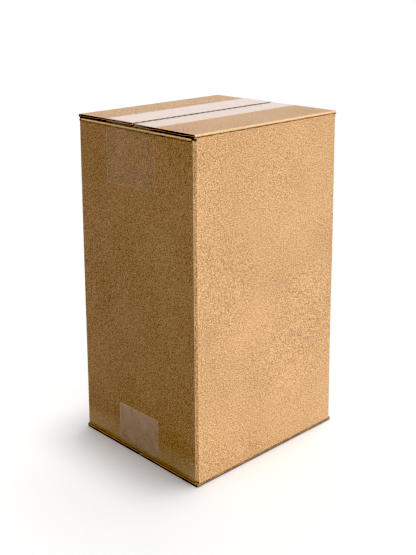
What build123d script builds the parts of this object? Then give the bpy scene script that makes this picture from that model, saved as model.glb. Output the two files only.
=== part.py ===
"""Closed shipping carton of single-wall corrugated board.

One folded blank with four panels, eight flaps and a glue tab, held in a ring by a film of glue and
sealed by a strip of clear tape over each seam.  The seams run along X, +Z is up, and the origin is
the middle of the base, on the surface that the carton stands on.  Millimetres.
"""
from build123d import *
import math
import os

# Outside of the folded board
length = 166.0  # along the seams, X
width = 144.0  # across the seams, Y
height = 285.0  # between the outer faces of the top and bottom flaps

# Corrugated board: two flat liners with a fluted sheet between them
board = 3.0
liner = 0.3
medium = 0.25
flute_pitch = 6.5
flank_angle = 45.0  # slope of the fluted sheet between its crests
tip_rounding = 0.6  # radius of a crest, as a share of the cell's narrow side
flute_shift = -1.15  # sideways place of the flutes in every panel
crushed = 1.2  # board beside a crease that has no open flutes left

# Panels, flaps and creases
corner_radius = 2.2  # outside of the four upright folds
flap_radius = 1.2  # outside of the flap folds
seam_gap = 1.2  # between the free edges of two outer flaps
flap_setback = 0.6  # ends of the outer flaps, in from the short panels
flap_play = 0.3  # inner flap below the outer flap that lies on it
inner_flap_play = 1.0  # side edges of the inner flaps, clear of the long panels
slot_notch = 1.5  # open height of the corner slots, below the outer flaps
slot_width = 2.2  # part of each corner slot that is cut from the long panels
score_radius = 0.35  # half-round line that the creasing wheel left
score_drop = 2.1  # its middle, below the outer face of the flap

# Glue tab inside the short panel at +X, folded from the long panel at +Y
tab_width = 35.0
tab_taper = 12.0  # degrees
tab_clearance = 1.5  # between the tab and the inner flaps
raw_edge_setback = 0.5  # cut edge of the short panel, in from the long panel's face
glue = 0.15
glue_margin = 2.0

# Tapes
tape = 0.06
top_tape_width = 60.0
top_tape_offset = 4.3  # the strip lies off the middle of the seam, towards +Y
top_tape_tails = (52.8, 55.0)  # down the short panels at -X and +X
bottom_tape_width = 50.0
bottom_tape_offset = -0.3
bottom_tape_tails = (40.0, 45.0)

# Levels and faces that the pieces share
base = tape
top = base + height
middle = base + height / 2
outer_flap_depth = (width - seam_gap) / 2
inner_flap_depth = min(outer_flap_depth, (length - seam_gap) / 2)
inner_flap_top = top - board - flap_play
slot_depth = board + slot_notch
slot_bottom = top - slot_depth
flute_end = inner_flap_top - board - crushed
inner_flap_width = width - 2 * (board + inner_flap_play)
tab_face = length / 2 - board - glue
outer_flute_end = width / 2 - board - crushed
inner_flute_end = length / 2 - board - crushed

# Half heights of the tab at its fold and at its free edge
tab_reach = tab_width - board
tab_root = inner_flap_top - board - tab_clearance - middle
tab_tip = tab_root - tab_reach * math.tan(math.radians(tab_taper))

# One open cell between two flanks of the fluted sheet
cell_height = board - 2 * liner - medium
cell_run = cell_height / math.tan(math.radians(flank_angle))
flank_width = medium / math.sin(math.radians(flank_angle))
cell_tip = flute_pitch / 2 - cell_run * (1 - medium / cell_height) - flank_width
cell_base = cell_tip + 2 * cell_run


def flute_row(count):
    """Open cells of a row of flutes, with the outer liner at +Y and the board's middle at Y = 0."""
    with BuildSketch() as row:
        with Locations((flute_shift - flute_pitch / 4, medium / 2)):
            with GridLocations(flute_pitch, 0, count, 1):
                Trapezoid(cell_base, cell_height, flank_angle, rotation=180)
        with Locations((flute_shift + flute_pitch / 4, -medium / 2)):
            with GridLocations(flute_pitch, 0, count, 1):
                Trapezoid(cell_base, cell_height, flank_angle)
        levels = row.vertices().group_by(Axis.Y)
        fillet(levels[1] + levels[2], tip_rounding * cell_tip)
    return row.sketch


def closed_flutes(clear):
    """A row that fits between two creases with this much uncrushed board between them."""
    ends = 2 * abs(flute_shift) + cell_base - flute_pitch / 2
    return flute_row(math.floor((clear - ends) / flute_pitch))


def cut_flutes(reach):
    """A row that runs out through both cut sides of a flap, as far as the given reach."""
    with BuildSketch() as row:
        add(flute_row(math.ceil((reach + 2 * abs(flute_shift)) / flute_pitch) + 1))
        Rectangle(reach, board, mode=Mode.INTERSECT)
    return row.sketch


def flipped(row):
    """The same row with its outer liner at -Y."""
    return mirror(row, about=Plane.XZ)


def flap_fold(depth):
    """Section of the top of a panel and its flap, with the outer corner at the origin."""
    with BuildSketch() as section:
        with BuildLine():
            Polyline(
                (0, -slot_depth), (0, 0), (depth, 0), (depth, -board),
                (board, -board), (board, -slot_depth), close=True,
            )
        make_face()
        fillet(section.vertices().sort_by_distance((0, 0))[0], flap_radius)
    return section.sketch


outer_fold = flap_fold(outer_flap_depth)
inner_fold = flap_fold(inner_flap_depth)
long_flutes = closed_flutes(2 * (tab_face - board - crushed))
short_flutes = closed_flutes(width - 2 * (board + crushed))
tab_flutes = closed_flutes(tab_width - board - crushed)
outer_flap_flutes = cut_flutes(length)
inner_flap_flutes = cut_flutes(inner_flap_width + inner_flap_play)

with BuildPart() as carton:
    # Outer flaps, each with its strip of long panel between two corner slots
    with BuildSketch(Plane.YZ):
        with Locations((-width / 2, top)):
            add(outer_fold)
        mirror(about=Plane.YZ)
    extrude(amount=length / 2 - flap_setback, both=True)
    with BuildSketch(Plane.XY.offset(slot_bottom)):
        with GridLocations(length - slot_width, width - board, 2, 2):
            Rectangle(slot_width, board)
    extrude(amount=slot_notch, mode=Mode.SUBTRACT)

    # The flap at +Y ends with its panel, at the face of the glue tab
    with BuildSketch(Plane.XY.offset(slot_bottom)):
        with Locations((tab_face, 0)):
            Rectangle(length, width, align=(Align.MIN, Align.MIN))
    extrude(amount=slot_depth, mode=Mode.SUBTRACT)

    # Their flutes, square to the folds
    with BuildSketch(Plane.XZ.offset(-outer_flute_end)):
        with Locations((0, top - board / 2)):
            add(outer_flap_flutes)
    extrude(amount=2 * outer_flute_end, mode=Mode.SUBTRACT)

    # Inner flaps and their flutes, below the outer ones
    with BuildSketch(Plane.XZ):
        with Locations((-length / 2, inner_flap_top)):
            add(inner_fold)
        mirror(about=Plane.YZ)
    extrude(amount=inner_flap_width / 2, both=True)
    with BuildSketch(Plane.YZ.offset(-inner_flute_end)):
        with Locations((0, inner_flap_top - board / 2)):
            add(inner_flap_flutes)
    extrude(amount=2 * inner_flute_end, mode=Mode.SUBTRACT)

    # Upper half of the four panels; the ring is open beside the tab at +X, +Y
    with BuildSketch(Plane.XY.offset(middle)) as ring:
        RectangleRounded(length, width, corner_radius)
        Rectangle(length - 2 * board, width - 2 * board, mode=Mode.SUBTRACT)
        with Locations((tab_face, width / 2 - board)):
            Rectangle(length, board, align=(Align.MIN, Align.MIN), mode=Mode.SUBTRACT)
        fillet(ring.vertices().sort_by_distance((tab_face, width / 2))[0], corner_radius)
        with Locations((length / 2, width / 2 - raw_edge_setback)):
            Rectangle(board, board - raw_edge_setback, align=(Align.MAX, Align.MAX))
    extrude(amount=slot_bottom - middle)

    # Score lines along the folds, and the lower half
    with BuildSketch(Plane.YZ):
        with GridLocations(width, 0, 2, 1):
            with Locations((0, top - score_drop)):
                Circle(score_radius)
    extrude(amount=length / 2 - slot_width, both=True, mode=Mode.SUBTRACT)
    with BuildSketch(Plane.XZ):
        with GridLocations(length, 0, 2, 1):
            with Locations((0, inner_flap_top - score_drop)):
                Circle(score_radius)
    extrude(amount=inner_flap_width / 2, both=True, mode=Mode.SUBTRACT)
    mirror(about=Plane.XY.offset(middle))

    # Glue tab
    with BuildSketch(Plane.YZ.offset(tab_face - board)):
        with BuildLine():
            Polyline(
                (width / 2 - board, middle - tab_root), (width / 2 - board, middle + tab_root),
                (width / 2 - tab_width, middle + tab_tip), (width / 2 - tab_width, middle - tab_tip),
                close=True,
            )
        make_face()
    extrude(amount=board)

    # Upright flutes in the tab and the panels
    with BuildSketch(Plane.XY.offset(middle - tab_root)):
        tab_middle = (width - tab_width - board - crushed) / 2
        with Locations(Location((tab_face - board / 2, tab_middle), (0, 0, 90))):
            add(flipped(tab_flutes))
    extrude(amount=2 * tab_root, mode=Mode.SUBTRACT)
    with BuildSketch(Plane.XY.offset(2 * middle - flute_end)):
        with Locations((0, width / 2 - board / 2)):
            add(long_flutes)
        with Locations((0, board / 2 - width / 2)):
            add(flipped(long_flutes))
        with Locations(Location((board / 2 - length / 2, 0), (0, 0, 90))):
            add(short_flutes)
        with Locations(Location((length / 2 - board / 2, 0), (0, 0, 90))):
            add(flipped(short_flutes))
    extrude(amount=2 * (flute_end - middle), mode=Mode.SUBTRACT)

with BuildPart() as glue_seam:
    with BuildSketch(Plane.YZ.offset(tab_face)):
        with Locations((width / 2 - (tab_width + board) / 2, middle)):
            Rectangle(tab_reach - 2 * glue_margin, 2 * (tab_tip - glue_margin))
    extrude(amount=glue)


def tape_wrap(face, inward, tails):
    """Section of a tape along a seam, over the flap ends and on to both short panels."""
    panel = length / 2
    edge = length / 2 - flap_setback
    landing = face + inward * (top - inner_flap_top)
    near, far = (face + inward * tail for tail in tails)
    with BuildSketch(Plane.XZ) as section:
        with BuildLine() as wrap:
            Polyline(
                (-panel, near), (-panel, landing), (-edge, face),
                (edge, face), (panel, landing), (panel, far),
            )
            offset(amount=tape, side=Side.LEFT if inward < 0 else Side.RIGHT)
        make_face()
    return section.sketch


with BuildPart() as top_tape:
    with BuildSketch(Plane.XZ.offset(-top_tape_offset)):
        add(tape_wrap(top, -1, top_tape_tails))
    extrude(amount=top_tape_width / 2, both=True)

with BuildPart() as bottom_tape:
    with BuildSketch(Plane.XZ.offset(-bottom_tape_offset)):
        add(tape_wrap(base, 1, bottom_tape_tails))
    extrude(amount=bottom_tape_width / 2, both=True)

os.makedirs("parts", exist_ok=True)
carton.part.label = "carton"
export_step(carton.part, "parts/carton.step", write_pcurves=False)
glue_seam.part.label = "glue_seam"
export_step(glue_seam.part, "parts/glue_seam.step", write_pcurves=False)
top_tape.part.label = "top_tape"
export_step(top_tape.part, "parts/top_tape.step", write_pcurves=False)
bottom_tape.part.label = "bottom_tape"
export_step(bottom_tape.part, "parts/bottom_tape.step", write_pcurves=False)
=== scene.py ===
import math
from collections import namedtuple

import bmesh
import bpy
from mathutils import Matrix, Vector, noise


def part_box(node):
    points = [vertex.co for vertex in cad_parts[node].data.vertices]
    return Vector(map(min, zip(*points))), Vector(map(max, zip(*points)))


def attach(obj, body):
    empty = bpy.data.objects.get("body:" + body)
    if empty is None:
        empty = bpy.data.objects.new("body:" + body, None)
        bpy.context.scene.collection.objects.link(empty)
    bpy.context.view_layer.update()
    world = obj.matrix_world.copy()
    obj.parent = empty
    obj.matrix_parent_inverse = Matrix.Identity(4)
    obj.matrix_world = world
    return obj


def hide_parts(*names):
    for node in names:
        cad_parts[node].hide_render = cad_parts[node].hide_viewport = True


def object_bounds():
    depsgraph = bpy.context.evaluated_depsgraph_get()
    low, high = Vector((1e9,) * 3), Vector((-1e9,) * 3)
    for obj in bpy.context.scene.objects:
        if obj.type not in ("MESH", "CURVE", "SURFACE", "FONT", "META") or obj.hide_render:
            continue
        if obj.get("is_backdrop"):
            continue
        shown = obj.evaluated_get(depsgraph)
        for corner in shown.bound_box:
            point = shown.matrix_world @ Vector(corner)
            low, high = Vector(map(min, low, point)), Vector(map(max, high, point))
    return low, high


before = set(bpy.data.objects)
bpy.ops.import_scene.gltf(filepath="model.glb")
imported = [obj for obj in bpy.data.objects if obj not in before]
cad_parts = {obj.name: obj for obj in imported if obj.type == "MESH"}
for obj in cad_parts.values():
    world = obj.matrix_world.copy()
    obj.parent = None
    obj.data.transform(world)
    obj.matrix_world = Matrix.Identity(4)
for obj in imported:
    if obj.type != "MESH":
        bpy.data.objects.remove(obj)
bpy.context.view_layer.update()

MM = 0.001
UP = Vector((0, 0, 1))
SAME_PLACE = 0.001 * MM  # values closer than this are one value
NEARLY = 0.1 * MM  # and this close past a run's end they still belong to it

# ---------------------------------------------------------------- sizes; the outer ones come from the frame
low_corner, high_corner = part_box("carton")
half_length = (high_corner.x - low_corner.x) / 2
half_width = (high_corner.y - low_corner.y) / 2
half_height = (high_corner.z - low_corner.z) / 2
middle = (high_corner.z + low_corner.z) / 2

board = 3.0 * MM
liner = 0.3 * MM
medium = 0.45 * MM
flute_pitch = 6.5 * MM
crushed_hollow = 0.15 * MM  # depth of the flutes behind a crushed edge
open_hollow, hollow_change = 2.3 * MM, 0.5 * MM  # and behind an open one
medium_setback, setback_change = 0.07 * MM, 0.12 * MM
medium_clearance = 0.06 * MM  # from the liners at the top of its wave
corner_radius = 2.2 * MM
corner_flatness = 0.92  # 0 is a round corner fold and 1 a flat chamfer
fold_radius = 1.2 * MM
inner_radius = 0.3 * MM
edge_strip = 0.4 * MM  # the first column beside a fold, which keeps the fold's edge crisp
seam_gap = 1.2 * MM
flap_setback = 0.6 * MM  # from a short wall to the ends of the top outer flaps
bottom_setback = 0.1 * MM  # and of the bottom ones
flap_play = 0.3 * MM  # between inner and outer flaps
inner_flap_half = half_width - board - 1.0 * MM
slot_drop = 4.5 * MM  # where the slots end, and the wall between them begins
corner_drop = 3.05 * MM  # where a corner fold is crushed up against the flap
crushed_end = 8 * MM  # and how far down its rows are moved by that
flare_low, flare_high = 3.1 * MM, 2.75 * MM  # where an outer flap widens past the corner folds
flare_length = 12 * MM
score_drop = 2.1 * MM  # of a flap's score line, below its own face
score_depth = 0.4 * MM
score_half = 0.5 * MM
score_core = 0.15 * MM
raw_edge_setback = 0.5 * MM
glue_gap = 0.15 * MM
tab_width = 35.0 * MM
tab_root_height, tab_tip_height = 0.976, 0.927  # as shares of the panel between the slots

tab_face = half_length - board - glue_gap
inner_top = half_height - board - flap_play
inner_flap_drop = half_height - inner_top
inner_score = inner_flap_drop + score_drop
fold_depth = board + inner_radius
flap_depth = half_width - seam_gap / 2
column_step = flute_pitch / 5
row_step = 16.0 * MM
rows_start = 12 * MM  # below the fine rows at the score lines
flap_step = 8.0 * MM

wall_bow, flap_bow, bow_size = 0.28 * MM, 0.04 * MM, 110 * MM
dent_depth, dent_size = 0.04 * MM, 18 * MM
front_flap_rise, back_flap_rise = -0.10 * MM, 0.45 * MM  # at the seam

film = 0.055 * MM
film_gap = 0.035 * MM
film_sag = 0.15 * MM  # into the seam between two flaps
bubble_height, ripple_height = 0.16 * MM, 0.03 * MM  # under the tails
pressed_height = 0.012 * MM  # and under the film that is pressed to the flaps
ragged_cut = 0.25 * MM

# How much painted shade (above 0) or painted light (below 0) board_material lays on the board's colour:
# painted highlights on folds and corner edges, painted light at the foot of the short walls, and painted
# shadow (dark_fold) at the floor.
painted_fold_light, painted_corner_light, painted_foot_light = -0.9, -0.35, -0.45
dark_fold = 1.0
OPEN_SHADE = [0.4, 1.0, 1.0, -0.6, -0.6, 1.0, 1.0, 0.8]  # painted shade in the open flutes on both sides of the medium, and a painted highlight on the medium's edge
CRUSHED_SHADE = [1.0, 1.0, 0.3, -0.7, -0.7, -0.7, -0.7, -0.7]  # painted shade on the outer part and painted light on the rest

# ---------------------------------------------------------------- colours, light and camera
BOARD_DARK = (0.142, 0.069, 0.021)
BOARD_LIGHT = (0.675, 0.422, 0.222)
BOARD_SPECK = (0.20, 0.11, 0.05)
# painted shade: in the score lines, flute hollows and seam, and where the box meets the floor
BOARD_PAINTED_SHADE = (0.03, 0.015, 0.008)
# painted light: on the folds, corner edges, flute medium and the foot of the short walls
BOARD_PAINTED_LIGHT = (0.95, 0.72, 0.45)
HAZE = (0.86, 0.70, 0.55)
CUT_FILM = (0.95, 0.72, 0.45)
GLUE_THICK, GLUE_THIN = (0.74, 0.66, 0.50), (0.84, 0.79, 0.67)
PAPER_DARK, PAPER_LIGHT = (0.90, 0.90, 0.90), (0.915, 0.915, 0.915)
WHITE = (1.0, 1.0, 1.0)

CAMERA_ANGLES = (-43.698, 11.607, -0.270)  # azimuth, elevation and roll, in degrees
CAMERA_PLACE = (-0.5503, -0.5752, 0.4107)
CAMERA_LENS = 61.589
CAMERA_SHIFT = -0.2192
ROOM_LIGHT, BACK_LIGHT = 0.085, 1.14
ROOM_TINT = (1.0, 0.97, 1.0)
BRIGHT_SIDE = Vector((0.69, 0.72, 0.12)).normalized()
BLACK_LEVEL = 0.07
FLOOR_HALF = 40.0


# ---------------------------------------------------------------- small helpers
def smooth(value, low, high):
    """0 below low, 1 above high, with no corner between."""
    f = min(max((value - low) / (high - low), 0.0), 1.0)
    return f * f * (3.0 - 2.0 * f)


def blend(a, b, f):
    """a where f is 0, b where it is 1, and straight between them."""
    return a + (b - a) * f


def spaced(low, high, step):
    """Evenly spaced values from low to high, both included, about step apart."""
    count = max(1, round(abs(high - low) / step))
    return [blend(low, high, i / count) for i in range(count + 1)]


def merged(*runs):
    """Runs of values put end to end, without repeating the value where two meet."""
    values = []
    for run in runs:
        values += [v for v in run if not values or abs(v - values[-1]) > SAME_PLACE]
    return values


def wobble(point, size, seed):
    """Smooth noise from about -1 to 1, with features of the given size."""
    return noise.noise(Vector(point) / size + Vector((seed * 7.31, seed * 3.17, seed * 5.03)))


def flap_spring(point):
    """The back top flap springs up a little at its free edge, and the front one sits lower."""
    on_flap = smooth(point.z - middle, inner_top + 0.05 * MM, inner_top + 0.25 * MM)
    toward_seam = 1.0 - smooth(abs(point.y), 0.0, half_width)
    on_back = smooth(point.y, -0.4 * MM, 0.4 * MM)
    return on_flap * toward_seam * blend(front_flap_rise, back_flap_rise, on_back)


def warp(point):
    """How far the folded board lies from its ideal place. The tapes follow it too."""
    off_flaps = 1.0 - smooth(abs(point.z - middle), half_height - 14 * MM, half_height - 2 * MM)
    bow = wall_bow * off_flaps + flap_bow
    shift = Vector((0, 0, 0))
    for axis in range(3):
        shift[axis] = bow * wobble(point, bow_size, axis) + dent_depth * wobble(point, dent_size, axis + 5)
    return shift + UP * flap_spring(point)


def turn_outward(mesh):
    """Makes every face of a closed mesh look outward."""
    work = bmesh.new()
    work.from_mesh(mesh)
    bmesh.ops.recalc_face_normals(work, faces=work.faces)
    work.to_mesh(mesh)
    work.free()


def new_object(name, points, faces, smooth_angle=40.0):
    """A warped, closed piece, smooth across edges that turn by less than smooth_angle."""
    mesh = bpy.data.meshes.new(name)
    mesh.from_pydata([p + warp(p) for p in points], [], faces)
    mesh.validate()
    turn_outward(mesh)
    mesh.shade_smooth()
    mesh.set_sharp_from_angle(angle=math.radians(smooth_angle))
    made = bpy.data.objects.new(name, mesh)
    bpy.context.scene.collection.objects.link(made)
    return made


def set_values(made, name, values):
    """One number a vertex, which the material reads under this name."""
    made.data.attributes.new(name, "FLOAT", "POINT").data.foreach_set("value", values)


# ---------------------------------------------------------------- corrugated board
class Board:
    """Board as paired points on its two faces, in quads. close() gives every cut edge its two liners
    and, set back between them, the wavy medium with the open flutes on both sides of it."""

    def __init__(self):
        self.outer, self.inner, self.place, self.shade, self.quads = [], [], [], [], []

    def point(self, outer, inner, across, along, shade=0.0):
        """across and along say where the point is on the flat blank, across the flutes and along them.
        shade says how much painted shade or painted light the outer liner gets there."""
        self.shade.append(shade)
        self.outer.append(Vector(outer))
        self.inner.append(Vector(inner))
        self.place.append((across, along))
        return len(self.outer) - 1

    def weave(self, rows):
        """Quads between each row of points and the next."""
        for row, following in zip(rows, rows[1:]):
            for i in range(len(row) - 1):
                self.quads.append((row[i], row[i + 1], following[i + 1], following[i]))

    def cut_edges(self):
        """The edges that only one quad has, each with its two other corners."""
        users = {}
        for quad in self.quads:
            for i in range(4):
                a, b = quad[i], quad[(i + 1) % 4]
                others = quad[(i + 2) % 4], quad[(i + 3) % 4]
                users.setdefault(frozenset((a, b)), []).append((a, b, *others))
        return [found[0] for found in users.values() if len(found) == 1]

    def way_in(self, a, b, c, d):
        """The way from the cut edge a-b into the board, square to the edge and level with the board."""
        mid = (self.outer[a] + self.outer[b] + self.inner[a] + self.inner[b]) / 4
        far = (self.outer[c] + self.outer[d] + self.inner[c] + self.inner[d]) / 4
        tangent = (self.outer[b] - self.outer[a]).normalized()
        through = (self.inner[a] - self.outer[a]).normalized()
        way = far - mid
        way -= tangent * way.dot(tangent)
        way -= through * way.dot(through)
        return way.normalized()

    def runs_across(self, a, b):
        """Whether the cut from a to b crosses the flutes, and so shows their wave."""
        return abs(self.place[a][0] - self.place[b][0]) > abs(self.place[a][1] - self.place[b][1])

    def is_crushed(self, index):
        """The wall's cut edges and the bottom flaps' are crushed, and the top flaps' are open."""
        height = self.outer[index].z - middle
        on_bottom_flap = height < 0.05 * MM - (half_height - slot_drop)
        on_wall = abs(height) < half_height - corner_drop
        return on_bottom_flap or on_wall

    def section(self, index, inward, across_cut):
        """The eight points between the two faces of a cut edge."""
        start, end = self.outer[index], self.inner[index]
        through = (end - start).normalized()
        thickness = (end - start).length
        across, along = self.place[index]
        travel = (thickness - medium) / 2 - liner - medium_clearance
        if across_cut:
            centre = thickness / 2 + travel * math.sin(2 * math.pi * across / flute_pitch)
        else:
            centre = thickness / 2 + travel * 0.9 * wobble((along, across, 0), 9 * MM, 3)
        hollow = crushed_hollow
        if not self.is_crushed(index):
            hollow = open_hollow + hollow_change * wobble((along, across, 0), 5 * MM, 4)
        setback = medium_setback + setback_change * wobble((along, across, 0), 3.5 * MM, 6)
        steps = [
            (liner, 0),
            (liner, hollow),
            (centre - medium / 2, hollow),
            (centre - medium / 2, setback),
            (centre + medium / 2, setback),
            (centre + medium / 2, hollow),
            (thickness - liner, hollow),
            (thickness - liner, 0),
        ]
        return [start + through * depth + inward * back for depth, back in steps]

    def close(self, name):
        count = len(self.outer)
        points = self.outer + self.inner
        faces = list(self.quads) + [tuple(reversed([i + count for i in quad])) for quad in self.quads]
        edges = self.cut_edges()
        ways_in, cuts_across = {}, {}
        for a, b, c, d in edges:
            for i in (a, b):
                ways_in.setdefault(i, []).append(self.way_in(a, b, c, d))
                cuts_across.setdefault(i, []).append(self.runs_across(a, b))
        sections, section_shades = {}, []
        for index, ways in ways_in.items():
            way = ways[0]
            if len(ways) > 1:  # where two edges meet, the way in goes as deep from each of them
                way = ways[0] + ways[1]
                way = way / max(0.5, way.length_squared / 2)
            first = len(points)
            points += self.section(index, way, any(cuts_across[index]))
            section_shades += CRUSHED_SHADE if self.is_crushed(index) else OPEN_SHADE
            sections[index] = [index, *range(first, first + 8), index + count]
        for a, b, _, _ in edges:
            for i in range(9):
                faces.append((sections[b][i], sections[a][i], sections[a][i + 1], sections[b][i + 1]))
        made = new_object(name, points, faces)
        set_values(made, "shade", self.shade + [0.0] * count + section_shades)
        return made


# ---------------------------------------------------------------- the folded blank
class Panel:
    """One wall: its outer face's middle, the way out of it, the way along it, the run of its columns and
    the run of its flap. The major panels are the long ones, whose flaps lie outside."""

    def __init__(self, face, out, way, start, end, flap_start, flap_end, major):
        self.face, self.out, self.way = Vector(face), Vector(out), Vector(way)
        self.start, self.end = start, end
        self.flap_start, self.flap_end, self.major = flap_start, flap_end, major

    def has_flap_at(self, t):
        """Whether the wall goes over into its flap at this place along it."""
        return self.flap_start - NEARLY < t < self.flap_end + NEARLY

    def stops(self):
        """The places of the columns along the panel."""
        run = spaced(self.flap_start, self.flap_end, column_step)
        if self.major:
            return [run[0], run[0] + edge_strip, *run[1:-1], run[-1] - edge_strip, run[-1]]
        return merged([self.start, self.start + edge_strip], run, [self.end - edge_strip, self.end])


flat_length = half_length - corner_radius
flat_width = half_width - corner_radius
back_end = tab_face - corner_radius
raw_edge = raw_edge_setback - half_width
right_panel = Panel((half_length, 0, middle), (1, 0, 0), (0, -1, 0), raw_edge, flat_width,
                    -inner_flap_half, inner_flap_half, False)
front_panel = Panel((0, -half_width, middle), (0, -1, 0), (-1, 0, 0), -flat_length, flat_length,
                    -flat_length, flat_length, True)
left_panel = Panel((-half_length, 0, middle), (-1, 0, 0), (0, 1, 0), -flat_width, flat_width,
                   -inner_flap_half, inner_flap_half, False)
back_panel = Panel((0, half_width, middle), (0, 1, 0), (1, 0, 0), -flat_length, back_end,
                   -flat_length, back_end, True)
PANELS = [right_panel, front_panel, left_panel, back_panel]

# A column of the wall: its spot on the outer face, the way out, its spot on the inner face, its panel and
# its place along it, its place across the flutes, and its height as a share of the wall's.
Column = namedtuple("Column", "spot out inner_spot panel t across share")


def inner_along(t, limit):
    """Where the inner face's point is along a panel: the same place, drawn in near the corner folds."""
    pull = corner_radius - board - inner_radius
    return t + math.copysign(pull, t) * smooth(abs(t), limit - 2 * MM, limit)


def wall_drops():
    """Distances below the carton's top at which the wall has a row of points, from the slot down."""
    at_score = [inner_score + d for d in (-0.7 * MM, -score_half, -score_core, 0, score_core, score_half)]
    return merged([slot_drop], at_score, [6.4 * MM, 7.4 * MM, 9 * MM],
                  spaced(rows_start, half_height, row_step))


def score_cut(drop, score, where):
    """Depth of the pressed score line, deepest at the score and uneven along it."""
    near = 1.0 - smooth(abs(drop - score), 0.1 * MM, score_half)
    return near * score_depth * (0.95 + 0.6 * wobble(where, 4 * MM, 9))


def wall_shade(panel, t, drop, side, groove):
    """How much painted shade or painted light the wall's outer liner gets: painted highlights at the
    corner folds and at the inner top folds, painted light toward the foot of the short walls, and painted
    shade in the score lines."""
    shade = 0.35 * groove / score_depth
    if panel is None:
        return shade
    if t in (panel.start, panel.end):
        return painted_corner_light
    if panel.major:
        return shade
    if side > 0:
        return 0.4 * painted_fold_light if drop < slot_drop + 0.1 * MM else shade
    return shade + painted_foot_light * (1.0 - smooth(drop, 4 * MM, 26 * MM))


def wall_point(sheet, column, drop, side):
    """A pair of points on the wall, drop below the top (side 1) or above the bottom (side -1)."""
    panel, spot, inner_spot = column.panel, column.spot, column.inner_spot
    flapped = panel is not None and panel.has_flap_at(column.t)
    near_corner = spot.x < 0 and spot.y < 0  # this one corner fold isn't crushed up
    if not flapped and not near_corner and drop < crushed_end:
        drop = blend(corner_drop, crushed_end, (drop - slot_drop) / (crushed_end - slot_drop))
    groove, inner_drop = 0.0, drop
    if flapped and not panel.major:
        groove = score_cut(drop, inner_score, (column.across, side, 0))
        if drop < rows_start:
            lowest = inner_flap_drop + fold_depth
            inner_drop = blend(lowest, rows_start, (drop - slot_drop) / (rows_start - slot_drop))
    height = side * (half_height - drop) * column.share
    inner_height = side * (half_height - inner_drop) * column.share
    outer = Vector((spot.x, spot.y, middle + height)) - column.out * groove
    inner = Vector((inner_spot.x, inner_spot.y, middle + inner_height))
    shade = wall_shade(panel, column.t, drop, side, groove)
    return sheet.point(outer, inner, column.across, height, shade)


def corner_columns(panel, across):
    """The columns round the corner fold at a panel's end, which is pressed almost to a chamfer."""
    centre = panel.face + panel.way * panel.end - panel.out * corner_radius
    inner_centre = centre + (panel.way + panel.out) * (corner_radius - board - inner_radius)
    columns = []
    for step in range(1, 5):
        angle = math.radians(90 * step / 5)
        out = panel.out * math.cos(angle) + panel.way * math.sin(angle)
        chord = math.cos(math.radians(45)) / math.cos(angle - math.radians(45))
        reach = corner_radius * blend(1.0, chord, corner_flatness)
        spot, inner_spot = centre + out * reach, inner_centre + out * inner_radius
        columns.append(Column(spot, out, inner_spot, None, 0.0, across + corner_radius * angle, 1.0))
    return columns


def tab_columns(across):
    """The columns of the glue tab, inside the +X panel. It gets lower toward its free edge."""
    columns = []
    tab_end = half_width - tab_width
    for y in merged([flat_width], spaced(flat_width - edge_strip, tab_end, 2 * column_step)):
        reach = flat_width - y
        share = 1.0
        if reach > 0:
            share = blend(tab_root_height, tab_tip_height, reach / (tab_width - corner_radius))
        spot = Vector((tab_face, y, middle))
        inner_spot = Vector((tab_face - board, min(y, half_width - board - inner_radius), middle))
        columns.append(Column(spot, right_panel.out, inner_spot, None, 0.0, across + reach, share))
    return columns


def wall_columns():
    """Every column round the carton, from the raw edge of the +X panel to the free edge of the tab."""
    columns, across = [], 0.0
    for panel in PANELS:
        limit = flat_length if panel.major else flat_width
        for t in panel.stops():
            inner_t = inner_along(t, limit)
            if panel is right_panel and t <= 0:
                inner_t = t
            elif panel is back_panel and t > 0:
                inner_t = inner_along(t, panel.end)
            spot = panel.face + panel.way * t
            inner_spot = panel.face + panel.way * inner_t - panel.out * board
            columns.append(Column(spot, panel.out, inner_spot, panel, t, across + t - panel.start, 1.0))
        across += panel.end - panel.start
        columns += corner_columns(panel, across)
        across += corner_radius * math.pi / 2
    return columns + tab_columns(across)


def fold_stations(major):
    """The crease from wall to flap, then the flap: (inward, drop) of the outer and of the inner face,
    below the flap's own face."""
    outer = []
    if major:
        outer += [(0, 3.9 * MM), (0, flare_low), (0, flare_high)]
        outer += [(0, score_drop + d) for d in (score_half, score_core, 0, -score_core, -score_half)]
        outer += [(0, 1.4 * MM), (0, fold_radius)]
    for step in range(1, 6):
        angle = math.radians(90 * step / 5)
        outer.append((fold_radius * (1 - math.cos(angle)), fold_radius * (1 - math.sin(angle))))
    outer += [(2 * MM, 0), (fold_depth, 0)]
    stations = []
    turning = [s for s in outer if s[1] < fold_depth]
    for spot in outer:
        if spot[1] >= fold_depth:
            stations.append((spot, (board, spot[1])))
            continue
        angle = math.radians(90 * (turning.index(spot) + 1) / len(turning))
        inner_inward = board + inner_radius * (1 - math.cos(angle))
        stations.append((spot, (inner_inward, fold_depth - inner_radius * math.sin(angle))))
    last_rows = [flap_depth - 1.5 * MM, flap_depth - 0.7 * MM, flap_depth]
    depths = merged([5.5 * MM, 9 * MM], spaced(14 * MM, flap_depth - 4 * MM, flap_step), last_rows)
    return stations + [((depth, 0), (depth, board)) for depth in depths]


def flared(t, drop, panel, side):
    """Outer flaps are a little wider than the wall between its corner folds."""
    if not panel.major:
        return t
    limit = half_length - (flap_setback if side > 0 else bottom_setback)
    root = abs(panel.flap_start)
    if t >= 0:
        root = panel.flap_end
        if panel is back_panel:
            limit = tab_face
    grown = (1.0 - smooth(drop, flare_high, flare_low)) * (limit - root)
    return t + math.copysign(grown * smooth(abs(t), root - flare_length, root), t)


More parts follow.
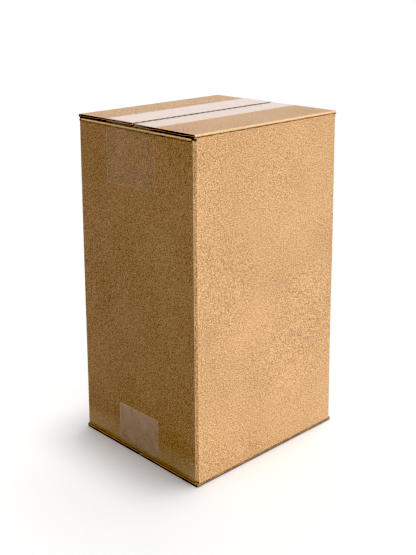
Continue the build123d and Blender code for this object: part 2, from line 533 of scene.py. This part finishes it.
def flap_shade(panel, side, inward, drop, across, groove):
    """How much painted shade or painted light a flap's outer liner gets: painted highlights at the top
    folds, painted light on the bottom inner ones, painted shadow where the box meets the floor, and
    painted shade along the flaps' free edges and in the score lines."""
    past_turn = inward < board and drop < fold_radius + 0.1 * MM
    # painted shade along the free edges, in the seam between the flaps
    if inward > flap_depth - 0.1 * MM:
        return 0.9 + 0.5 * wobble((across, side, 0), 3 * MM, 14)
    if side > 0 and not panel.major and past_turn:
        return painted_fold_light if panel is left_panel else 0.3 * painted_fold_light
    if side > 0 and 0 < inward < fold_radius:
        return 0.4 * painted_fold_light
    if side < 0 and panel.major and past_turn:
        return dark_fold
    if side < 0 and not panel.major and inward < board:
        return painted_fold_light
    return groove / score_depth


def add_flap(sheet, panel, side, root_row, columns):
    """Carries the wall on into its flap, from the wall's last row: side 1 is the top and -1 the bottom."""
    level = half_height if panel.major else inner_top
    rows = [root_row]
    for (inward, drop), (inner_inward, inner_drop) in fold_stations(panel.major):
        row = []
        for column in columns:
            groove = 0.0
            if panel.major and inward == 0:
                groove = score_cut(drop, score_drop, (column.across, side, 5 * MM))
            spot = panel.face + panel.way * flared(column.t, drop, panel, side)
            outer = spot - panel.out * (inward + groove) + UP * side * (level - drop)
            inner = spot - panel.out * inner_inward + UP * side * (level - inner_drop)
            shade = flap_shade(panel, side, inward, drop, column.across, groove)
            row.append(sheet.point(outer, inner, column.across, side * (level + inward - drop), shade))
        rows.append(row)
    sheet.weave(rows)


def make_carton():
    """The whole blank, folded: the ring of walls with the tab, then the eight flaps."""
    sheet = Board()
    columns = wall_columns()
    drops = wall_drops()
    heights = [(1, drop) for drop in drops] + [(-1, drop) for drop in reversed(drops[:-1])]
    rows = [[wall_point(sheet, column, drop, side) for column in columns] for side, drop in heights]
    sheet.weave(rows)
    for side, row in ((1, rows[0]), (-1, rows[-1])):
        for panel in PANELS:
            chosen = [i for i, column in enumerate(columns)
                      if column.panel is panel and panel.has_flap_at(column.t)]
            add_flap(sheet, panel, side, [row[i] for i in chosen], [columns[i] for i in chosen])
    return sheet.close("carton_board")


# ---------------------------------------------------------------- tapes and glue
def film_faces(width, length):
    """The faces of a closed thin sheet: length rows of width points below, as many above, and a rim."""
    count = width * length
    faces = []
    for i in range(length - 1):
        for j in range(width - 1):
            a, b = i * width + j, (i + 1) * width + j
            faces.append((a, a + 1, b + 1, b))
            faces.append((count + a, count + b, count + b + 1, count + a + 1))
    rim = list(range(width))
    rim += [i * width + width - 1 for i in range(1, length)]
    rim += [(length - 1) * width + j for j in range(width - 2, -1, -1)]
    rim += [i * width for i in range(length - 2, 0, -1)]
    for a, b in zip(rim, rim[1:] + rim[:1]):
        faces.append((a, b, count + b, count + a))
    return faces


def tape_path(tail_minus, tail_plus):
    """The tape's line, as X and the drop below the flaps: up one end, over them and down the other end."""
    side, edge = half_length, half_length - flap_setback
    cut_strip, tail_step, tail_top = 0.9 * MM, 2.2 * MM, 6 * MM
    tails = []
    for tail in (tail_minus, tail_plus):
        tails.append(merged([tail, tail - cut_strip], spaced(tail - 2 * MM, tail_top, tail_step)))
    onto_flap = [
        (side, 5.2 * MM), (side - 0.05 * MM, 4.4 * MM), (side - 0.3 * MM, 3.6 * MM),
        (edge + 0.12 * MM, 2.9 * MM), (edge, 2.2 * MM), (edge, 1.2 * MM), (edge, 0.35 * MM),
        (edge - 0.1 * MM, 0.1 * MM), (edge - 0.35 * MM, 0.0),
    ]
    over = [(x, 0.0) for x in spaced(-edge + 2 * MM, edge - 2 * MM, 2.4 * MM)]
    first = [(-side, drop) for drop in tails[0]] + [(-x, drop) for x, drop in onto_flap]
    last = [(x, drop) for x, drop in reversed(onto_flap)] + [(side, drop) for drop in reversed(tails[1])]
    return first + over + last


def tape_lift(x, y, drop, end_drop):
    """Air left under the film: flat on the flaps, small bubbles and ripples on the tails."""
    on_tail = smooth(drop, 7 * MM, 10 * MM) * (1.0 - smooth(drop, end_drop - 2.0 * MM, end_drop))
    bubble = max(0.0, wobble((x, y, drop), 5.5 * MM, 21) - 0.08)
    fine = 0.5 + 0.5 * wobble((x, y, drop), 2.2 * MM, 23)
    ripple = 0.5 + 0.5 * wobble((x * 0.2, y, drop), 16 * MM, 25)
    loose = bubble_height * bubble + ripple_height * (fine + ripple)
    return on_tail * loose + (1 - on_tail) * pressed_height * fine


def seam_sag(x, y, drop):
    """How far the film sinks into the gap between the two flaps."""
    uneven = 0.8 + 0.7 * wobble((x, 0, 0), 7 * MM, 27)
    near_seam = 1.0 - smooth(abs(y), 0.2 * MM, 0.8 * MM)
    return film_sag * uneven * near_seam * (1.0 - smooth(drop, 0, 1 * MM))


def tape_looseness(y, drop, side, on_tail):
    """How white the film is from air behind it: on_tail down the walls, and in patches where it
    bridges the open ends of the flaps."""
    bridging = smooth(drop, 0.1 * MM, 0.5 * MM) * (1.0 - smooth(drop, 2.8 * MM, 3.6 * MM))
    bridging *= 1.5 + 2.5 * wobble((y, side, 0), 3.5 * MM, 29)
    return on_tail * smooth(drop, 5 * MM, 9 * MM) + max(0.0, bridging)


def tape_rows(half_tape, offset):
    """The places of the points across the tape, from its middle: closer at its edges and at the seam."""
    cut_strip, step = 0.9 * MM, 1.9 * MM
    seam = [d * MM - offset for d in (-1.4, -0.8, -0.4, 0.0, 0.4, 0.8, 1.4)]
    return merged(
        [-half_tape, cut_strip - half_tape], spaced(2 * MM - half_tape, seam[0] - 0.6 * MM, step), seam,
        spaced(seam[-1] + 0.6 * MM, half_tape - 2 * MM, step), [half_tape - cut_strip, half_tape])


def make_tape(name, side, half_tape, offset, tail_minus, tail_plus, looseness):
    """Clear film over the seam: side 1 is the top and -1 the bottom. offset is how far its middle lies
    off the seam, and the tails reach that far along the short walls, on -X and on +X."""
    path = tape_path(tail_minus, tail_plus)
    ys = tape_rows(half_tape, offset)
    below, above, rim_values, loose_values = [], [], [], []
    for i, (x, drop) in enumerate(path):
        before, after = path[max(0, i - 1)], path[min(len(path) - 1, i + 1)]
        run = Vector((after[0] - before[0], 0, before[1] - after[1])).normalized()
        out = Vector((-run.z, 0, run.x))
        end_drop = tail_minus if x < 0 else tail_plus
        cut_end = i in (0, len(path) - 1)
        for y in ys:
            ragged = ragged_cut * wobble((y, x, side), 1.6 * MM, 31) if cut_end else 0.0
            spot = Vector((x, y + offset, half_height - drop - ragged))
            lift = film_gap + tape_lift(x, y, drop, end_drop) - seam_sag(x, y + offset, drop)
            cut_side = abs(y) > half_tape - 0.1 * MM
            rim_values.append(1.0 if cut_end else 0.5 if cut_side else 0.0)
            loose_values.append(tape_looseness(y, drop, side, looseness))
            for pile, height in ((below, lift), (above, lift + film)):
                place = spot + out * height
                pile.append(Vector((place.x, place.y, middle + side * place.z)))
    made = new_object(name, below + above, film_faces(len(ys), len(path)), smooth_angle=50.0)
    set_values(made, "rim", rim_values * 2)
    set_values(made, "loose", loose_values * 2)
    return made


def make_glue():
    """The glue between the tab and the wall it is stuck to, as a thin sheet."""
    (_, y_low, z_low), (_, y_high, z_high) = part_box("glue_seam")
    inset = 0.02 * MM
    ys, zs = spaced(y_low, y_high, 3 * MM), spaced(z_low, z_high, 6 * MM)
    points = []
    for x in (half_length - board - inset, tab_face + inset):
        points += [Vector((x, y, z)) for z in zs for y in ys]
    return new_object("glue_film", points, film_faces(len(ys), len(zs)))


# ---------------------------------------------------------------- materials
def new_material(name):
    material = bpy.data.materials.new(name)
    material.use_nodes = True
    tree = material.node_tree
    tree.nodes.clear()
    output = tree.nodes.new("ShaderNodeOutputMaterial")
    return material, tree, output


def set_socket(tree, socket, value):
    """Links the socket where the value is another node's, and sets it otherwise."""
    if isinstance(value, bpy.types.NodeSocket):
        tree.links.new(value, socket)
    else:
        socket.default_value = value


def add(tree, kind, values=None, **settings):
    """A node with its settings made, and its inputs set or linked."""
    made = tree.nodes.new(kind)
    for key, value in settings.items():
        setattr(made, key, value)
    for key, value in (values or {}).items():
        set_socket(tree, made.inputs[key], value)
    return made


def object_place(tree):
    return add(tree, "ShaderNodeTexCoord").outputs["Object"]


def vertex_value(tree, name):
    """The number that set_values gave each vertex."""
    return add(tree, "ShaderNodeAttribute", attribute_name=name).outputs["Fac"]


def noise_at(tree, coordinates, size, detail, stretch=(1, 1, 1)):
    """A noise value whose features are about size across, stretched along the axes."""
    placed = coordinates
    if stretch != (1, 1, 1):
        placed = add(tree, "ShaderNodeMapping", {"Vector": coordinates, "Scale": stretch}).outputs[0]
    values = {"Vector": placed, "Scale": 1.0 / size, "Detail": detail, "Roughness": 0.6}
    return add(tree, "ShaderNodeTexNoise", values).outputs["Fac"]


def ranged(tree, value, low, high, to_low, to_high):
    """The value's range from low to high turned into another, and held to it."""
    values = {"Value": value, "From Min": low, "From Max": high, "To Min": to_low, "To Max": to_high}
    return add(tree, "ShaderNodeMapRange", values).outputs[0]


def between(tree, noise_value, to_low, to_high, low=0.3, high=0.7):
    """The range that most of a noise's values lie in, from low to high, turned into another."""
    return ranged(tree, noise_value, low, high, to_low, to_high)


def maths(tree, operation, a, b):
    return add(tree, "ShaderNodeMath", {0: a, 1: b}, operation=operation).outputs[0]


def mixed_colour(tree, factor, a, b):
    made = add(tree, "ShaderNodeMix", data_type="RGBA")
    factor_socket, a_socket, b_socket = made.inputs[0], made.inputs[6], made.inputs[7]
    set_socket(tree, factor_socket, factor)
    set_socket(tree, a_socket, a)
    set_socket(tree, b_socket, b)
    return made.outputs[2]


def board_material():
    """Brown kraft liner: a fine mottle of pulp, faint fibres and dark specks, and slow cloudiness. The
    shade value adds painted shade, where it is above 0, and painted light, where it is below."""
    material, tree, output = new_material("kraft_board")
    where = object_place(tree)
    mottle = noise_at(tree, where, 1.0 * MM, 2.0)
    grain = noise_at(tree, where, 0.6 * MM, 2.0)
    fibres = noise_at(tree, where, 2.4 * MM, 2.0, (1, 1, 0.7))
    clouds = noise_at(tree, where, 60 * MM, 3.0)
    specks = noise_at(tree, where, 2.6 * MM, 1.0)
    tone = between(tree, mottle, -0.55, 0.55)
    tone = maths(tree, "ADD", tone, between(tree, grain, -0.4, 0.4))
    tone = maths(tree, "ADD", tone, between(tree, fibres, -0.06, 0.06, low=0.35, high=0.65))
    tone = maths(tree, "ADD", tone, between(tree, clouds, -0.06, 0.06))
    lightness = ranged(tree, tone, -0.50, 0.50, 0.0, 1.0)
    colour = mixed_colour(tree, lightness, (*BOARD_DARK, 1), (*BOARD_LIGHT, 1))
    colour = mixed_colour(tree, ranged(tree, specks, 0.70, 0.78, 0.0, 0.35), colour, (*BOARD_SPECK, 1))
    shade = vertex_value(tree, "shade")
    # painted shade and painted light, from the shade value
    painted_shade = ranged(tree, shade, 0.1, 0.8, 0.0, 0.95)
    painted_light = ranged(tree, shade, -1.0, -0.05, 0.8, 0.0)
    colour = mixed_colour(tree, painted_shade, colour, (*BOARD_PAINTED_SHADE, 1))
    colour = mixed_colour(tree, painted_light, colour, (*BOARD_PAINTED_LIGHT, 1))
    height = maths(tree, "ADD", maths(tree, "MULTIPLY", mottle, 0.5), maths(tree, "MULTIPLY", grain, 0.5))
    bump = add(tree, "ShaderNodeBump", {"Height": height, "Strength": 0.9, "Distance": 0.16 * MM})
    shader = add(tree, "ShaderNodeBsdfPrincipled", {
        "Base Color": colour,
        "Roughness": between(tree, mottle, 0.62, 0.78),
        "IOR": 1.45,
        "Sheen Weight": 0.2,
        "Sheen Roughness": 0.4,
        "Normal": bump.outputs[0],
    })
    tree.links.new(shader.outputs[0], output.inputs[0])
    return material


def tape_haze(tree, where, fine, rim):
    """How much of the film is whitened: by uneven adhesive on the tails, by air and at the cut edges."""
    patches = noise_at(tree, where, 9 * MM, 3.0)
    streaks = noise_at(tree, where, 3.0 * MM, 2.0, (0.15, 1, 1))
    loose = vertex_value(tree, "loose")
    adhesive = between(tree, patches, 0.0, 0.006)
    adhesive = maths(tree, "ADD", adhesive, between(tree, fine, 0.0, 0.009, low=0.35))
    adhesive = maths(tree, "ADD", adhesive, between(tree, streaks, 0.0, 0.008, low=0.35))
    haze = maths(tree, "MULTIPLY", adhesive, ranged(tree, loose, 0.0, 0.05, 0.0, 1.0))
    haze = maths(tree, "ADD", haze, ranged(tree, rim, 0.0, 1.0, 0.0, 0.5))
    air = maths(tree, "MULTIPLY", loose, between(tree, patches, 0.07, 0.11))
    return maths(tree, "ADD", haze, air)


def tape_material():
    """Clear film: it mirrors by the angle it is seen at, and a thin haze whitens it. Only the side that
    is turned outward does so, because the film's far side is stuck to the board."""
    material, tree, output = new_material("clear_film")
    where = object_place(tree)
    fine = noise_at(tree, where, 1.6 * MM, 3.0)
    rim = vertex_value(tree, "rim")
    haze = tape_haze(tree, where, fine, rim)
    bump = add(tree, "ShaderNodeBump", {"Height": fine, "Strength": 0.08, "Distance": 0.05 * MM})
    clear = add(tree, "ShaderNodeBsdfTransparent", {"Color": (*WHITE, 1)})
    gloss = add(tree, "ShaderNodeBsdfGlossy", {
        "Color": (*WHITE, 1), "Roughness": 0.3, "Normal": bump.outputs[0]})
    cloudy = add(tree, "ShaderNodeBsdfDiffuse", {
        "Color": mixed_colour(tree, rim, (*HAZE, 1), (*CUT_FILM, 1))})
    mirror = maths(tree, "POWER", add(tree, "ShaderNodeLayerWeight").outputs["Facing"], 4.0)
    front = maths(tree, "SUBTRACT", 1.0, add(tree, "ShaderNodeNewGeometry").outputs["Backfacing"])
    film_mix = add(tree, "ShaderNodeMixShader", {
        0: maths(tree, "MULTIPLY", mirror, front), 1: clear.outputs[0], 2: gloss.outputs[0]})
    whole = add(tree, "ShaderNodeMixShader", {
        0: maths(tree, "MULTIPLY", haze, front), 1: film_mix.outputs[0], 2: cloudy.outputs[0]})
    tree.links.new(whole.outputs[0], output.inputs[0])
    return material


def glue_material():
    """Dried white glue, a little yellow where it is thick."""
    material, tree, output = new_material("dried_glue")
    smears = noise_at(tree, object_place(tree), 6 * MM, 3.0, (1, 1, 0.3))
    thinness = between(tree, smears, 0.0, 1.0)
    shader = add(tree, "ShaderNodeBsdfPrincipled", {
        "Base Color": mixed_colour(tree, thinness, (*GLUE_THICK, 1), (*GLUE_THIN, 1)),
        "Roughness": between(tree, smears, 0.35, 0.6),
        "IOR": 1.47,
    })
    tree.links.new(shader.outputs[0], output.inputs[0])
    return material


def floor_material():
    """Matt white paper with a hardly visible unevenness."""
    material, tree, output = new_material("white_paper")
    tone = between(tree, noise_at(tree, object_place(tree), 0.5, 2.0), 0.0, 1.0)
    colour = mixed_colour(tree, tone, (*PAPER_DARK, 1), (*PAPER_LIGHT, 1))
    shader = add(tree, "ShaderNodeBsdfDiffuse", {"Color": colour})
    tree.links.new(shader.outputs[0], output.inputs[0])
    return material


# ---------------------------------------------------------------- the pieces
carton = make_carton()
top_film = make_tape("top_tape_film", side=1, half_tape=30 * MM, offset=4.3 * MM,
                     tail_minus=52.8 * MM, tail_plus=55 * MM, looseness=0.05)
bottom_film = make_tape("bottom_tape_film", side=-1, half_tape=25 * MM, offset=-0.3 * MM,
                        tail_minus=40 * MM, tail_plus=45 * MM, looseness=3.2)
glue_film = make_glue()

carton.data.materials.append(board_material())
clear_film = tape_material()
top_film.data.materials.append(clear_film)
bottom_film.data.materials.append(clear_film)
glue_film.data.materials.append(glue_material())

for piece, node, slot in (
    (carton, "carton", "board"), (top_film, "top_tape", "clear_tape"),
    (bottom_film, "bottom_tape", "clear_tape"), (glue_film, "glue_seam", "glue"),
):
    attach(piece, "root")
    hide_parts(node)


# ---------------------------------------------------------------- floor, lights and camera
def make_floor():
    mesh = bpy.data.meshes.new("paper_floor")
    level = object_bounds()[0].z
    signs = ((-1, -1), (1, -1), (1, 1), (-1, 1))
    mesh.from_pydata([(x * FLOOR_HALF, y * FLOOR_HALF, level) for x, y in signs], [], [(0, 1, 2, 3)])
    mesh.materials.append(floor_material())
    floor = bpy.data.objects.new("paper_floor", mesh)
    bpy.context.scene.collection.objects.link(floor)
    floor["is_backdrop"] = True
    return floor


def make_sun(name, towards, strength, spread, only_on=None, shadow=True):
    """A distant light, spread degrees wide. only_on are the pieces that it lights, where not all."""
    lamp = bpy.data.lights.new(name, "SUN")
    lamp.energy = strength
    lamp.use_shadow = shadow
    lamp.angle = math.radians(spread)
    lamp.cycles.use_multiple_importance_sampling = False  # keeps white sparks off the film
    made = bpy.data.objects.new(name, lamp)
    made.rotation_mode = "QUATERNION"
    made.rotation_quaternion = Vector(towards).to_track_quat("Z", "Y")
    bpy.context.scene.collection.objects.link(made)
    if only_on:
        lit = bpy.data.collections.new(name + "_receivers")
        for lit_piece in only_on:
            lit.objects.link(lit_piece)
        made.light_linking.receiver_collection = lit


def make_world():
    """A dim room with one bright side, low behind the carton, which the top and its tape mirror."""
    world = bpy.data.worlds.new("studio")
    bpy.context.scene.world = world
    world.use_nodes = True
    tree = world.node_tree
    tree.nodes.clear()
    output = tree.nodes.new("ShaderNodeOutputWorld")
    way = add(tree, "ShaderNodeTexCoord").outputs["Generated"]
    toward = add(tree, "ShaderNodeVectorMath", {0: way, 1: BRIGHT_SIDE}, operation="DOT_PRODUCT")
    strength = ranged(tree, toward.outputs["Value"], 0.65, 0.96, ROOM_LIGHT, BACK_LIGHT)
    shader = add(tree, "ShaderNodeBackground", {"Color": (*ROOM_TINT, 1), "Strength": strength})
    tree.links.new(shader.outputs[0], output.inputs[0])


def make_camera():
    azimuth, elevation, roll = (math.radians(a) for a in CAMERA_ANGLES)
    across = Vector((math.cos(azimuth), math.sin(azimuth), 0))
    level_back = Vector((math.sin(azimuth), -math.cos(azimuth), 0))
    back = level_back * math.cos(elevation) + UP * math.sin(elevation)
    up = back.cross(across)
    turned = across * math.cos(roll) + up * math.sin(roll)
    upright = up * math.cos(roll) - across * math.sin(roll)
    lens = bpy.data.cameras.new("camera")
    lens.lens = CAMERA_LENS
    lens.shift_y = CAMERA_SHIFT
    lens.clip_end = 200
    camera = bpy.data.objects.new("camera", lens)
    axes = Matrix((turned, upright, back)).transposed().to_4x4()
    camera.matrix_world = Matrix.Translation(CAMERA_PLACE) @ axes
    bpy.context.scene.collection.objects.link(camera)
    bpy.context.scene.camera = camera


paper_floor = make_floor()
on_box = [carton, top_film, bottom_film, glue_film]
on_floor = [paper_floor]
make_world()
make_sun("overhead_light", towards=(0.10, -0.04, 1.0), strength=1.45, spread=13)
make_sun("top_light", towards=(0.05, -0.30, 1.0), strength=3.6, spread=30, only_on=on_box)
make_sun("front_light", towards=(0.25, -0.95, 0.16), strength=3.15, spread=30, only_on=on_box)
make_sun("wide_floor_light", towards=(0.14, 0.0, 1.0), strength=1.5, spread=80, only_on=on_floor)
make_sun("floor_fill", towards=UP, strength=0.25, spread=10, only_on=on_floor, shadow=False)
make_camera()

view = bpy.context.scene.view_settings
view.view_transform = "Standard"
view.use_curve_mapping = True
view.curve_mapping.black_level = (BLACK_LEVEL, BLACK_LEVEL, BLACK_LEVEL)
view.curve_mapping.update()
